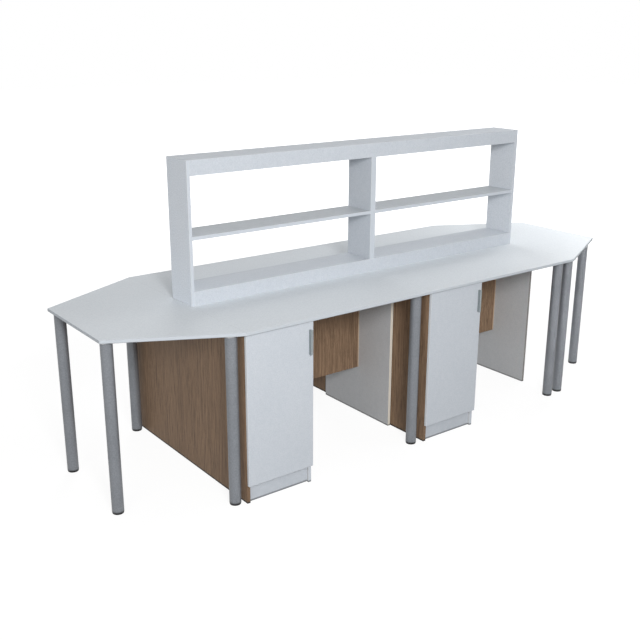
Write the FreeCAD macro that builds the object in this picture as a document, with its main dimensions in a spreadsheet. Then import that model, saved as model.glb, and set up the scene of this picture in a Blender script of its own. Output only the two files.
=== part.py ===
"""Island laboratory bench with a double-sided reagent shelf.

Two desks stand end to end and a trapezoid table closes each end.  Each desk has a wood end
panel, a pedestal with a cupboard facing each side, two knee spaces and a pair of round legs.
The reagent shelf stands on the desks, along their middle.

Frame: +X along the bench, -Y is the front, +Z up.  The origin is on the floor, under the centre.
A hinge frame is used for whatever belongs to a door: its X runs from the outer face of the end
panel towards the opening, its Y runs from the front edge of the panels into the cupboard.
"""
import FreeCAD, Part
import os
import Sketcher

Vector = FreeCAD.Vector
Rotation = FreeCAD.Rotation

# ---------------------------------------------------------------- driving sizes, in millimetres
SIZES = [
    ("bench_height", 910, "floor to the top of the worktop"),
    ("bench_depth", 1240, "front edge to back edge"),
    ("desk_length", 1200, "one desk, along the bench"),
    ("end_length", 600, "one trapezoid end table, along the bench"),
    ("end_width", 625, "short outer edge of an end table"),
    ("top_thickness", 16, "worktop"),
    ("top_edge_ease", 1.5, "chamfer round the worktop's outer edges"),
    ("board", 18, "laminated board of panels, pedestals and shelf"),
    ("board_ease", 0.6, "eased edge of the boards"),
    ("panel_inset", 31.5, "worktop edge to the front edge of the panels"),
    ("support_panel_depth", 610, "white support panel, front to back"),
    ("support_panel_inset", 4, "white support panel to the end of its desk"),
    ("modesty_lift", 292, "floor to the lower edge of the modesty panels"),
    ("pedestal_clear_width", 360, "clear width inside a pedestal"),
    ("plinth_height", 100, "floor to the bottom board of a pedestal"),
    ("plinth_recess", 15, "plinth behind the pedestal's front edge"),
    ("rail_depth", 80, "stretcher rail under the worktop"),
    ("inner_shelf_lift", 470, "floor to the underside of the inner shelf"),
    ("inner_shelf_setback", 25, "inner shelf behind the pedestal's front edge"),
    ("inner_shelf_play", 1, "inner shelf to the pedestal's sides and back"),
    ("support_reach", 12, "shelf support, out of the side and down it"),
    ("support_lip", 3, "shelf support at its thin ends"),
    ("support_width", 16, "shelf support, front to back"),
    ("support_setback", 50, "shelf support behind the shelf's front edge and before its back"),
    ("door_thickness", 16, "door"),
    ("door_gap", 2.5, "door to the front edge of the panels"),
    ("door_reveal", 1, "door to the outer face of each side"),
    ("door_top_gap", 3, "door to the underside of the worktop"),
    ("handle_length", 130, "handle, upright"),
    ("handle_drop", 41, "door's top edge to the top of the handle"),
    ("handle_inset", 21, "door's free edge to the middle of the handle"),
    ("handle_reach", 18, "handle, out of the door"),
    ("handle_foot", 11, "handle's width at the door"),
    ("handle_neck", 7, "handle's width where fingers close on it"),
    ("handle_head", 12, "handle's width at its front"),
    ("handle_ease", 1.2, "rounded edge of the handle"),
    ("hinge_inset", 95, "door's edge to the middle of the hinge"),
    ("cup_diameter", 35, "hinge cup, nominal bore in the door"),
    ("cup_bore_depth", 12, "bore in the door"),
    ("cup_play", 0.3, "hinge cup to its bore, all round"),
    ("cup_floor", 1, "floor of the hinge cup's well"),
    ("cup_depth", 11.3, "hinge cup into the door"),
    ("well_start", 7.1, "outer face of the end panel to the well in the cup"),
    ("well_width", 24.4, "well in the cup, across"),
    ("well_height", 13, "well in the cup, upright"),
    ("cup_offset", 22.5, "outer face of the end panel to the middle of the cup"),
    ("flange_height", 62, "cup's flange, upright"),
    ("flange_width", 21, "cup's flange, across"),
    ("flange_start", 17, "outer face of the end panel to the cup's flange"),
    ("flange_thickness", 1.2, "cup's flange"),
    ("flange_corner", 4, "cut corners of the cup's flange"),
    ("arm_pivot_across", 30, "outer face of the end panel to the arm's pivot"),
    ("arm_pivot_depth", 2.5, "arm's pivot behind the front edge of the panels"),
    ("cup_pivot_across", 10, "outer face of the end panel to the cup's pivot, door shut"),
    ("cup_pivot_depth", 4.5, "cup's pivot below the door's inner face"),
    ("pivot_radius", 1.2, "hinge pivot pins"),
    ("pivot_play", 0.05, "pivot pin to the eye of the link, radially"),
    ("link_eye", 2.4, "outer radius of the link's eyes"),
    ("link_half_gauge", 1.5, "half the thickness of the link"),
    ("link_width", 10, "link, along its pins"),
    ("link_elbow_across", 9.4, "cup's pivot to the elbow of the link, across"),
    ("link_elbow_depth", 3.4, "cup's pivot to the elbow of the link, into the door"),
    ("link_play", 0.3, "link to each cheek of the arm"),
    ("arm_sheet", 1.5, "sheet of the hinge arm"),
    ("arm_nose", 2.8, "arm's nose round its pivot, half its breadth"),
    ("arm_rise", 11.5, "hinge arm above its mounting plate"),
    ("arm_length", 62, "front edge of the panels to the back of the arm"),
    ("mount_rise", 6, "mounting plate above the end panel's inner face"),
    ("mount_start", 20, "front edge of the panels to the mounting plate"),
    ("wing_rise", 2.5, "wings of the mounting plate"),
    ("wing_start", 28, "front edge of the panels to the wings"),
    ("wing_depth", 18, "wings of the mounting plate, front to back"),
    ("wing_height", 48, "wings of the mounting plate, upright"),
    ("leg_diameter", 60, "leg tube"),
    ("leg_wall", 1.5, "leg tube"),
    ("outer_leg_from_end", 48, "end table's outer edge to its outer legs"),
    ("outer_leg_from_side", 36, "end of the outer edge to the outer legs"),
    ("inner_leg_from_desk", 44, "desk's end to the end table's inner legs"),
    ("inner_leg_from_edge", 75, "long edge to the end table's inner legs"),
    ("desk_leg_from_end", 66, "desk's right end to its legs"),
    ("desk_leg_from_edge", 65, "long edge to the desk's legs"),
    ("foot_height", 8, "levelling foot below the leg tube"),
    ("foot_taper", 2, "levelling foot, narrower at the floor, all round"),
    ("plug_play", 0.3, "corners of the six-sided plugs to the leg tube's bore"),
    ("plug_length", 24, "plugs of the foot and of the mounting plate, inside the leg tube"),
    ("plate_width", 76, "square mounting plate on top of a leg"),
    ("plate_corner", 12, "cut corners of the mounting plate"),
    ("plate_thickness", 5, "mounting plate on top of a leg"),
    ("shelf_height", 742, "worktop to the top of the reagent shelf"),
    ("shelf_depth", 204, "reagent shelf, front to back"),
    ("shelf_top_box", 78, "height of the upper box of the reagent shelf"),
    ("shelf_base_box", 76, "height of the lower box of the reagent shelf"),
    ("middle_shelf_height", 360, "worktop to the top of the middle shelves"),
]

# Ways to set a piece
AS_DRAWN = Rotation()
TO_THE_BACK = Rotation(Vector(1, 0, 0), 180)
TO_THE_LEFT = Rotation(Vector(0, 0, 1), 180)

# Places that several pieces share
HALF_DEPTH = "Sizes.bench_depth / 2"
UNDERSIDE = "(Sizes.bench_height - Sizes.top_thickness)"
PANEL_FRONT = "(Sizes.bench_depth / 2 - Sizes.panel_inset)"
PEDESTAL_WIDTH = "(Sizes.pedestal_clear_width + 2 * Sizes.board)"
DOOR_BOTTOM = "Sizes.plinth_height"
DOOR_HEIGHT = "(%s - Sizes.door_top_gap - %s)" % (UNDERSIDE, DOOR_BOTTOM)
DOOR_MIDDLE = "(%s + %s / 2)" % (DOOR_BOTTOM, DOOR_HEIGHT)
HINGE_RISE = "(%s / 2 - Sizes.hinge_inset)" % DOOR_HEIGHT
SHELF_HALF_LENGTH = "Sizes.desk_length"
SHELF_TOP = "(Sizes.bench_height + Sizes.shelf_height)"
DESKS = (("left", "-Sizes.desk_length"), ("right", "0"))
PIN_SIDES = 10
FACINGS = (("front", -1), ("back", 1))

doc = FreeCAD.newDocument("LabBench")
sheet = doc.addObject("Spreadsheet::Sheet", "Sizes")
for row, (alias, size, meaning) in enumerate(SIZES, start=1):
    sheet.set("A%d" % row, alias)
    sheet.set("B%d" % row, str(size))
    sheet.set("C%d" % row, meaning)
    sheet.setAlias("B%d" % row, alias)
doc.recompute()

nodes = []


# ---------------------------------------------------------------- helpers
def value(expression):
    """The number that an expression of the sheet's sizes gives now."""
    return float(sheet.evalExpression(expression))


def place(item, x, y, z, rotation=AS_DRAWN):
    """Put an object at sheet expressions."""
    item.Placement = FreeCAD.Placement(Vector(0, 0, 0), rotation)
    for axis, expression in zip("xyz", (x, y, z)):
        item.setExpression("Placement.Base." + axis, expression)


def new_body(name):
    body = doc.addObject("PartDesign::Body", name)
    body.Label = name
    return body


def new_sketch(body, role="XY_Plane", offset="0"):
    """A sketch on one of the body's own origin planes, moved along the plane's normal."""
    sketch = body.newObject("Sketcher::SketchObject", body.Name + "_sketch")
    plane = next(item for item in body.Origin.OriginFeatures if item.Role == role)
    sketch.AttachmentSupport = [(plane, "")]
    sketch.MapMode = "FlatFace"
    sketch.setExpression("AttachmentOffset.Base.z", offset)
    return sketch


def fix_point(sketch, geometry, position, x, y):
    """Tie a point of the sketch to sheet expressions, measured from the sketch's origin."""
    for axis, expression in (("X", x), ("Y", y)):
        rule = Sketcher.Constraint("Distance" + axis, -1, 1, geometry, position, value(expression))
        name = "at_%s_%d_%d" % (axis.lower(), geometry, position)
        sketch.renameConstraint(sketch.addConstraint(rule), name)
        sketch.setExpression("Constraints." + name, expression)


def draw_polygon(sketch, corners):
    points = [Vector(value(x), value(y), 0) for x, y in corners]
    first = sketch.GeometryCount
    count = len(corners)
    for index in range(count):
        line = Part.LineSegment(points[index], points[(index + 1) % count])
        sketch.addGeometry(line, False)
    for index in range(count):
        after = first + (index + 1) % count
        sketch.addConstraint(Sketcher.Constraint("Coincident", first + index, 2, after, 1))
    for index, (x, y) in enumerate(corners):
        fix_point(sketch, first + index, 1, x, y)


def draw_rectangle(sketch, x, y, width, height):
    right = "(%s) + (%s)" % (x, width)
    top = "(%s) + (%s)" % (y, height)
    draw_polygon(sketch, [(x, y), (right, y), (right, top), (x, top)])


def draw_circle(sketch, x, y, radius):
    centre = Vector(value(x), value(y), 0)
    index = sketch.addGeometry(Part.Circle(centre, Vector(0, 0, 1), value(radius)), False)
    fix_point(sketch, index, 3, x, y)
    rule = Sketcher.Constraint("Radius", index, value(radius))
    name = "radius_%d" % index
    sketch.renameConstraint(sketch.addConstraint(rule), name)
    sketch.setExpression("Constraints." + name, radius)


def pad(body, sketch, length, reverse=False):
    feature = body.newObject("PartDesign::Pad", body.Name + "_pad")
    feature.Profile = sketch
    feature.Reversed = reverse
    feature.setExpression("Length", length)
    doc.recompute()
    return feature


def pocket(body, sketch, length, reverse=False):
    """Cut a sketch into its body, and make sure that it did take something away."""
    before = body.Shape.Volume
    feature = body.newObject("PartDesign::Pocket", body.Name + "_pocket")
    feature.Profile = sketch
    feature.Reversed = reverse
    feature.setExpression("Length", length)
    doc.recompute()
    if body.Shape.Volume >= before:
        raise ValueError(body.Label + ": a pocket cuts nothing")
    return feature


def chamfer(body, feature, size, keep=None):
    """Ease the edges of a feature: all of them, or those for which keep(edge) is true."""
    edges = [""]
    if keep:
        numbered = enumerate(feature.Shape.Edges, start=1)
        edges = ["Edge%d" % number for number, edge in numbered if keep(edge)]
    eased = body.newObject("PartDesign::Chamfer", body.Name + "_chamfer")
    eased.Base = (feature, edges)
    eased.UseAllEdges = keep is None
    eased.setExpression("Size", size)
    doc.recompute()
    return eased


def board(name, corner, size, eased=True):
    """A plain board, from its lowest corner and its three sizes; eased boards have soft edges."""
    body = new_body(name)
    sketch = new_sketch(body)
    draw_rectangle(sketch, "0", "0", size[0], size[1])
    blank = pad(body, sketch, size[2])
    if eased:
        chamfer(body, blank, "Sizes.board_ease")
    place(body, *corner)
    return body


def copies(name, master, places):
    """One node of separate equal solids: placed links to a master piece."""
    links = []
    for number, (x, y, z, rotation) in enumerate(places, start=1):
        link = doc.addObject("App::Link", "%s_%d" % (name, number))
        link.LinkedObject = master
        link.LinkTransform = False
        place(link, x, y, z, rotation)
        links.append(link)
    return group(name, links)


def group(name, members):
    compound = doc.addObject("Part::Compound", name)
    compound.Label = name
    compound.Links = members
    return compound


def facing(side, expression):
    """The same distance from the bench's middle, towards the front or the back."""
    return "-(%s)" % expression if side < 0 else "(%s)" % expression


def turn_for(side):
    """Pieces are drawn for the front; on the back they are half a turn round."""
    return AS_DRAWN if side < 0 else TO_THE_BACK


def board_facing(name, side, x, near, z, size, eased=True):
    """A board whose far face, seen from the middle, lies at the distance near + its depth."""
    y = "-(%s) - (%s)" % (near, size[1]) if side < 0 else near
    return board(name, (x, y, z), size, eased)


# ---------------------------------------------------------------- worktops
def ease_top(body, feature, seam_ends):
    """Chamfer the worktop's edges, except those in the plane of a butt joint."""
    seams = [value(end) for end in seam_ends]

    def is_outer(edge):
        ends = [vertex.Point.x for vertex in edge.Vertexes]
        return not any(all(abs(x - seam) < 1e-6 for x in ends) for seam in seams)

    chamfer(body, feature, "Sizes.top_edge_ease", is_outer)


def desk_worktop(name, start):
    body = new_body(name)
    sketch = new_sketch(body)
    draw_rectangle(sketch, "0", "0", "Sizes.desk_length", "Sizes.bench_depth")
    ease_top(body, pad(body, sketch, "Sizes.top_thickness"), ("0", "Sizes.desk_length"))
    place(body, start, "-" + HALF_DEPTH, UNDERSIDE)
    return body


def end_worktop(name, side):
    """Trapezoid end table: its long edge meets the desk, its short edge is the bench's end."""
    near = "0" if side > 0 else "Sizes.end_length"
    far = "Sizes.end_length" if side > 0 else "0"
    low = "(Sizes.bench_depth - Sizes.end_width) / 2"
    high = "(Sizes.bench_depth + Sizes.end_width) / 2"
    body = new_body(name)
    sketch = new_sketch(body)
    corners = [(near, "0"), (near, "Sizes.bench_depth"), (far, high), (far, low)]
    draw_polygon(sketch, corners)
    ease_top(body, pad(body, sketch, "Sizes.top_thickness"), (near,))
    start = "Sizes.desk_length" if side > 0 else "-Sizes.desk_length - Sizes.end_length"
    place(body, start, "-" + HALF_DEPTH, UNDERSIDE)
    return body


for side_name, start in DESKS:
    nodes.append(desk_worktop("desk_worktop_" + side_name, start))
nodes.append(end_worktop("end_worktop_left", -1))
nodes.append(end_worktop("end_worktop_right", 1))


# ---------------------------------------------------------------- desk panels and pedestals
for side_name, start in DESKS:
    panel_depth = "2 * " + PANEL_FRONT
    nodes.append(board(
        "end_panel_" + side_name,
        (start, "-" + PANEL_FRONT, "0"),
        ("Sizes.board", panel_depth, UNDERSIDE)))

    pedestal_end = "%s + %s" % (start, PEDESTAL_WIDTH)
    nodes.append(board(
        "pedestal_side_" + side_name,
        (pedestal_end + " - Sizes.board", "-" + PANEL_FRONT, "0"),
        ("Sizes.board", panel_depth, UNDERSIDE)))

    support_start = "%s + Sizes.desk_length - Sizes.support_panel_inset - Sizes.board" % start
    nodes.append(board(
        "support_panel_" + side_name,
        (support_start, "-Sizes.support_panel_depth / 2", "0"),
        ("Sizes.board", "Sizes.support_panel_depth", UNDERSIDE)))

    for face_name, side in FACINGS:
        knee_width = "(%s) - (%s)" % (support_start, pedestal_end)
        nodes.append(board_facing(
            "modesty_panel_%s_%s" % (face_name, side_name), side,
            pedestal_end, "0", "Sizes.modesty_lift",
            (knee_width, "Sizes.board", UNDERSIDE + " - Sizes.modesty_lift")))

    inside = start + " + Sizes.board"
    floor_top = "(Sizes.plinth_height + Sizes.board)"
    nodes.append(board(
        "pedestal_bottom_" + side_name,
        (inside, "-" + PANEL_FRONT, "Sizes.plinth_height"),
        ("Sizes.pedestal_clear_width", panel_depth, "Sizes.board"), eased=False))
    partition_height = "%s - %s" % (UNDERSIDE, floor_top)
    nodes.append(board(
        "pedestal_partition_" + side_name,
        (inside, "-Sizes.board / 2", floor_top),
        ("Sizes.pedestal_clear_width", "Sizes.board", partition_height), eased=False))


def in_pedestals(name, make):
    """A node of one board per cupboard, made by make(name, side, x)."""
    members = []
    for side_name, start in DESKS:
        for face_name, side in FACINGS:
            label = "%s_%s_%s" % (name, face_name, side_name)
            members.append(make(label, side, start + " + Sizes.board"))
    return group(name, members)


def plinth(name, side, x):
    near = PANEL_FRONT + " - Sizes.plinth_recess - Sizes.board"
    size = ("Sizes.pedestal_clear_width", "Sizes.board", "Sizes.plinth_height")
    return board_facing(name, side, x, near, "0", size, eased=False)


def top_rail(name, side, x):
    near = PANEL_FRONT + " - Sizes.rail_depth"
    size = ("Sizes.pedestal_clear_width", "Sizes.rail_depth", "Sizes.board")
    return board_facing(name, side, x, near, UNDERSIDE + " - Sizes.board", size, eased=False)


def inner_shelf(name, side, x):
    near = "Sizes.board / 2 + Sizes.inner_shelf_play"
    width = "Sizes.pedestal_clear_width - 2 * Sizes.inner_shelf_play"
    depth = PANEL_FRONT + " - Sizes.inner_shelf_setback - (%s)" % near
    start = x + " + Sizes.inner_shelf_play"
    size = (width, depth, "Sizes.board")
    return board_facing(name, side, start, near, "Sizes.inner_shelf_lift", size, eased=False)


nodes.append(in_pedestals("pedestal_plinths", plinth))
nodes.append(in_pedestals("pedestal_top_rails", top_rail))
nodes.append(in_pedestals("inner_shelves", inner_shelf))


def shelf_support_master():
    """A plastic gusset in the corner between the shelf and a side, at the left of the shelf."""
    body = new_body("shelf_support")
    sketch = new_sketch(body, "XZ_Plane", "-Sizes.support_width / 2")
    draw_polygon(sketch, [
        ("0", "0"), ("0", "-Sizes.support_reach"), ("Sizes.support_lip", "-Sizes.support_reach"),
        ("Sizes.support_reach", "-Sizes.support_lip"), ("Sizes.support_reach", "0")])
    pad(body, sketch, "Sizes.support_width")
    return body


def shelf_supports():
    """Four gussets carry each inner shelf, just under it, two on each side of the cupboard."""
    places = []
    front = "(%s - Sizes.inner_shelf_setback - Sizes.support_setback)" % PANEL_FRONT
    back = "(Sizes.board / 2 + Sizes.support_setback)"
    for side_name, start in DESKS:
        left = start + " + Sizes.board"
        right = left + " + Sizes.pedestal_clear_width"
        for face_name, side in FACINGS:
            for x, rotation in ((left, AS_DRAWN), (right, TO_THE_LEFT)):
                for distance in (front, back):
                    places.append((x, facing(side, distance), "Sizes.inner_shelf_lift", rotation))
    return copies("shelf_supports", shelf_support_master(), places)


nodes.append(shelf_supports())


# ---------------------------------------------------------------- doors and handles
def door(name, start, side):
    """Door in its hinge frame, with its middle at half height and a bore for each hinge cup."""
    body = new_body(name)
    width = PEDESTAL_WIDTH + " - 2 * Sizes.door_reveal"
    sketch = new_sketch(body, offset="-%s / 2" % DOOR_HEIGHT)
    front = "-Sizes.door_gap - Sizes.door_thickness"
    draw_rectangle(sketch, "Sizes.door_reveal", front, width, "Sizes.door_thickness")
    chamfer(body, pad(body, sketch, DOOR_HEIGHT), "Sizes.board_ease")
    bores = new_sketch(body, "XZ_Plane", "Sizes.door_gap")
    for rise in (HINGE_RISE, "-" + HINGE_RISE):
        draw_circle(bores, "Sizes.cup_offset", rise, "Sizes.cup_diameter / 2")
    pocket(body, bores, "Sizes.cup_bore_depth", reverse=True)
    place(body, start, facing(side, PANEL_FRONT), DOOR_MIDDLE, turn_for(side))
    return body


def handle(name, start, side):
    """Upright grip: waisted between foot and head, so that fingers close behind the head."""
    body = new_body(name)
    sketch = new_sketch(body, offset="-Sizes.handle_length / 2")
    outline = []
    for width, reach in (("foot", "0"), ("neck", "0.5"), ("head", "0.8"), ("head", "1")):
        outline.append(("Sizes.handle_%s / 2" % width, "-%s * Sizes.handle_reach" % reach))
    mirrored = [("-" + x, y) for x, y in reversed(outline)]
    draw_polygon(sketch, outline + mirrored)
    chamfer(body, pad(body, sketch, "Sizes.handle_length"), "Sizes.handle_ease", keep=handle_rim)
    x = "%s + %s - Sizes.door_reveal - Sizes.handle_inset" % (start, PEDESTAL_WIDTH)
    door_front = "(%s + Sizes.door_gap + Sizes.door_thickness)" % PANEL_FRONT
    z = "%s + %s - Sizes.handle_drop - Sizes.handle_length / 2" % (DOOR_BOTTOM, DOOR_HEIGHT)
    place(body, x, facing(side, door_front), z, turn_for(side))
    return body


def handle_rim(edge):
    """The edges of the handle's head, which is where a hand rubs."""
    head = -0.8 * value("Sizes.handle_reach") - 1e-6
    return all(vertex.Point.y < head for vertex in edge.Vertexes)


for side_name, start in DESKS:
    for face_name, side in FACINGS:
        suffix = "%s_%s" % (face_name, side_name)
        nodes.append(door("door_" + suffix, start, side))
        nodes.append(handle("handle_" + suffix, start, side))


# ---------------------------------------------------------------- concealed hinges
def draw_bar(sketch, start, end, half_gauge):
    """A straight bar between two points, half its gauge longer at each end."""
    run = "(%s - (%s))" % (end[0], start[0])
    rise = "(%s - (%s))" % (end[1], start[1])
    share = "%s / sqrt(pow(%s; 2) + pow(%s; 2))" % (half_gauge, run, rise)
    along = "%s * %s" % (share, run)
    across = "%s * %s" % (share, rise)
    draw_polygon(sketch, [
        ("%s - %s + %s" % (start[0], along, across), "%s - %s - %s" % (start[1], across, along)),
        ("%s + %s + %s" % (end[0], along, across), "%s + %s - %s" % (end[1], across, along)),
        ("%s + %s - %s" % (end[0], along, across), "%s + %s + %s" % (end[1], across, along)),
        ("%s - %s - %s" % (start[0], along, across), "%s - %s + %s" % (start[1], across, along))])


def draw_cut_square(sketch, x, y, half_width, half_height, corner):
    """A rectangle round a point with its corners cut off."""
    inner_x = "(%s - %s)" % (half_width, corner)
    inner_y = "(%s - %s)" % (half_height, corner)
    quarter = [("(%s)" % half_width, inner_y), (inner_x, "(%s)" % half_height)]
    ring = []
    for sign_x, sign_y in (("", ""), ("-", ""), ("-", "-"), ("", "-")):
        turn = 1 if sign_x == sign_y else -1
        ring += [(sign_x + a, sign_y + b) for a, b in quarter[::turn]]
    draw_polygon(sketch, [("%s + %s" % (x, a), "%s + %s" % (y, b)) for a, b in ring])


def draw_pin(sketch, x, y, radius):
    """A small round drawn with flats, its corners on the radius."""
    angles = [360 * number / PIN_SIDES for number in range(PIN_SIDES)]
    draw_polygon(sketch, [
        ("%s + (%s) * cos(%g)" % (x, radius, angle), "%s + (%s) * sin(%g)" % (y, radius, angle))
        for angle in angles])


def hinge_cup_master():
    """Die-cast cup with its flange, its well and the pivot pin across the well.

    It is drawn from the middle of the cup, on the door's inner face.
    """
    body = new_body("hinge_cup")
    boss = new_sketch(body, "XZ_Plane")
    draw_circle(boss, "0", "0", "Sizes.cup_diameter / 2 - Sizes.cup_play")
    pad(body, boss, "Sizes.cup_depth")
    flange = new_sketch(body, "XZ_Plane")
    middle = "Sizes.flange_start + Sizes.flange_width / 2 - Sizes.cup_offset"
    draw_cut_square(
        flange, middle, "0", "Sizes.flange_width / 2", "Sizes.flange_height / 2", "Sizes.flange_corner")
    pad(body, flange, "Sizes.flange_thickness", reverse=True)
    well = new_sketch(body, "XZ_Plane", "-Sizes.flange_thickness")
    draw_rectangle(
        well, "Sizes.well_start - Sizes.cup_offset", "-Sizes.well_height / 2",
        "Sizes.well_width", "Sizes.well_height")
    pocket(body, well, "Sizes.flange_thickness + Sizes.cup_depth - Sizes.cup_floor", reverse=True)
    pin = new_sketch(body, offset="-Sizes.well_height / 2")
    across = "Sizes.cup_pivot_across - Sizes.cup_offset"
    draw_pin(pin, across, "-Sizes.cup_pivot_depth", "Sizes.pivot_radius")
    pad(body, pin, "Sizes.well_height")
    return body


def hinge_link_master():
    """Cranked link from the cup's pin, round the rim of the cup, to the arm's pin."""
    body = new_body("hinge_link")
    cup_pin = ("Sizes.cup_pivot_across", "-Sizes.door_gap - Sizes.cup_pivot_depth")
    arm_pin = ("Sizes.arm_pivot_across", "Sizes.arm_pivot_depth")
    elbow = (cup_pin[0] + " + Sizes.link_elbow_across", cup_pin[1] + " - Sizes.link_elbow_depth")
    low_side = "-Sizes.link_width / 2"
    for start, end in ((cup_pin, elbow), (elbow, arm_pin)):
        bar = new_sketch(body, offset=low_side)
        draw_bar(bar, start, end, "Sizes.link_half_gauge")
        pad(body, bar, "Sizes.link_width")
    for pivot in (cup_pin, arm_pin):
        eye = new_sketch(body, offset=low_side)
        draw_cut_square(eye, *pivot, "Sizes.link_eye", "Sizes.link_eye", "0.6 * Sizes.link_eye")
        pad(body, eye, "Sizes.link_width")
    flats_clear_the_pin = "(Sizes.pivot_radius + Sizes.pivot_play) / cos(180 / %d)" % PIN_SIDES
    for pivot in (cup_pin, arm_pin):
        hole = new_sketch(body, offset=low_side)
        draw_pin(hole, *pivot, flats_clear_the_pin)
        pocket(body, hole, "Sizes.link_width", reverse=True)
    return body


def hinge_arm_master():
    """Channel of bent sheet over the mounting plate, with the pivot pin across its nose."""
    body = new_body("hinge_arm")
    foot = "(Sizes.board + Sizes.mount_rise)"
    crest = "(%s + Sizes.arm_rise)" % foot
    nose_x = "Sizes.arm_pivot_across"
    nose_y = "Sizes.arm_pivot_depth"
    half_width = "(Sizes.link_width / 2 + Sizes.link_play + Sizes.arm_sheet)"
    outline = new_sketch(body, offset="-" + half_width)
    nose_end = nose_y + " - Sizes.arm_nose"
    draw_polygon(outline, [
        (foot, "Sizes.arm_length"), (foot, "Sizes.mount_start"),
        (nose_x + " - Sizes.arm_nose", nose_y), (nose_x + " - Sizes.arm_nose / 2", nose_end),
        (nose_x + " + Sizes.arm_nose / 2", nose_end), (nose_x + " + Sizes.arm_nose", nose_y),
        (crest, nose_y + " + 3 * Sizes.arm_nose"), (crest, "Sizes.arm_length")])
    pad(body, outline, "2 * " + half_width)
    inside = "(Sizes.link_width / 2 + Sizes.link_play)"
    channel = new_sketch(body, offset="-" + inside)
    draw_rectangle(
        channel, "Sizes.board", nose_y + " - 2 * Sizes.arm_nose",
        crest + " - Sizes.arm_sheet - Sizes.board", "Sizes.arm_length + 2 * Sizes.arm_nose")
    pocket(body, channel, "2 * " + inside, reverse=True)
    pin = new_sketch(body, offset="-" + inside)
    draw_pin(pin, nose_x, nose_y, "Sizes.pivot_radius")
    pad(body, pin, "2 * " + inside)
    return body


def hinge_mount_master():
    """Mounting plate on the end panel's inner face: a raised bridge and two low wings."""
    body = new_body("hinge_mount")
    half_bridge = "(Sizes.link_width / 2 + Sizes.link_play + Sizes.arm_sheet)"
    bridge = new_sketch(body, "YZ_Plane", "Sizes.board")
    draw_rectangle(
        bridge, "Sizes.mount_start", "-" + half_bridge,
        "Sizes.arm_length - Sizes.mount_start", "2 * " + half_bridge)
    pad(body, bridge, "Sizes.mount_rise")
    wings = new_sketch(body, "YZ_Plane", "Sizes.board")
    draw_rectangle(
        wings, "Sizes.wing_start", "-Sizes.wing_height / 2",
        "Sizes.wing_depth", "Sizes.wing_height")
    pad(body, wings, "Sizes.wing_rise")
    return body


def hinge_places(start, side, across="0", depth="0"):
    """The two hinges of a door, each at a point of its hinge frame."""
    x = "(%s) + (%s)" % (start, across)
    y = facing(side, "(%s) + (%s)" % (PANEL_FRONT, depth))
    heights = ["%s + %s" % (DOOR_MIDDLE, rise) for rise in ("-" + HINGE_RISE, HINGE_RISE)]
    return [(x, y, z, turn_for(side)) for z in heights]


cup_master = hinge_cup_master()
link_master = hinge_link_master()
fixed_places = []
for side_name, start in DESKS:
    for face_name, side in FACINGS:
        suffix = "%s_%s" % (face_name, side_name)
        cup_places = hinge_places(start, side, "Sizes.cup_offset", "Sizes.door_gap")
        nodes.append(copies("hinge_cups_" + suffix, cup_master, cup_places))
        nodes.append(copies("hinge_links_" + suffix, link_master, hinge_places(start, side)))
        fixed_places.extend(hinge_places(start, side))
nodes.append(copies("hinge_arms", hinge_arm_master(), fixed_places))
nodes.append(copies("hinge_mounting_plates", hinge_mount_master(), fixed_places))


# ---------------------------------------------------------------- legs
OUTER_LEG = (
    "(Sizes.desk_length + Sizes.end_length - Sizes.outer_leg_from_end)",
    "(Sizes.end_width / 2 - Sizes.outer_leg_from_side)")
INNER_LEG = (
    "(Sizes.desk_length + Sizes.inner_leg_from_desk)",
    "(%s - Sizes.inner_leg_from_edge)" % HALF_DEPTH)
DESK_LEG_Y = "(%s - Sizes.desk_leg_from_edge)" % HALF_DEPTH
LEG_PAIRS = (
    ("end_left_outer", "-" + OUTER_LEG[0], OUTER_LEG[1]),
    ("end_left_inner", "-" + INNER_LEG[0], INNER_LEG[1]),
    ("desk_left", "-Sizes.desk_leg_from_end", DESK_LEG_Y),
    ("desk_right", "Sizes.desk_length - Sizes.desk_leg_from_end", DESK_LEG_Y),
    ("end_right_inner", INNER_LEG[0], INNER_LEG[1]),
    ("end_right_outer", OUTER_LEG[0], OUTER_LEG[1]),
)


def leg_pair(name, x, y):
    """Two steel tubes, front and back, from the feet up to the mounting plates."""
    body = new_body(name)
    sketch = new_sketch(body)
    draw_circle(sketch, "0", y, "Sizes.leg_diameter / 2")
    draw_circle(sketch, "0", y, "Sizes.leg_diameter / 2 - Sizes.leg_wall")
    tube = pad(body, sketch, UNDERSIDE + " - Sizes.plate_thickness - Sizes.foot_height")
    twin = body.newObject("PartDesign::Mirrored", body.Name + "_twin")
    twin.Originals = [tube]
    twin.MirrorPlane = (next(item for item in body.Origin.OriginFeatures if item.Role == "XZ_Plane"), [""])
    body.Tip = twin
    place(body, x, "0", "Sizes.foot_height")
    return body


def add_plug(body, start, length, down=False):
    """Six-sided plug that slides into the leg tube."""
    corner = "(Sizes.leg_diameter / 2 - Sizes.leg_wall - Sizes.plug_play)"
    half = "(%s / 2)" % corner
    flat = "(%s * sqrt(3) / 2)" % corner
    sketch = new_sketch(body, offset=start)
    draw_polygon(sketch, [
        (corner, "0"), (half, flat), ("-" + half, flat),
        ("-" + corner, "0"), ("-" + half, "-" + flat), (half, "-" + flat)])
    pad(body, sketch, length, reverse=down)


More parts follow.
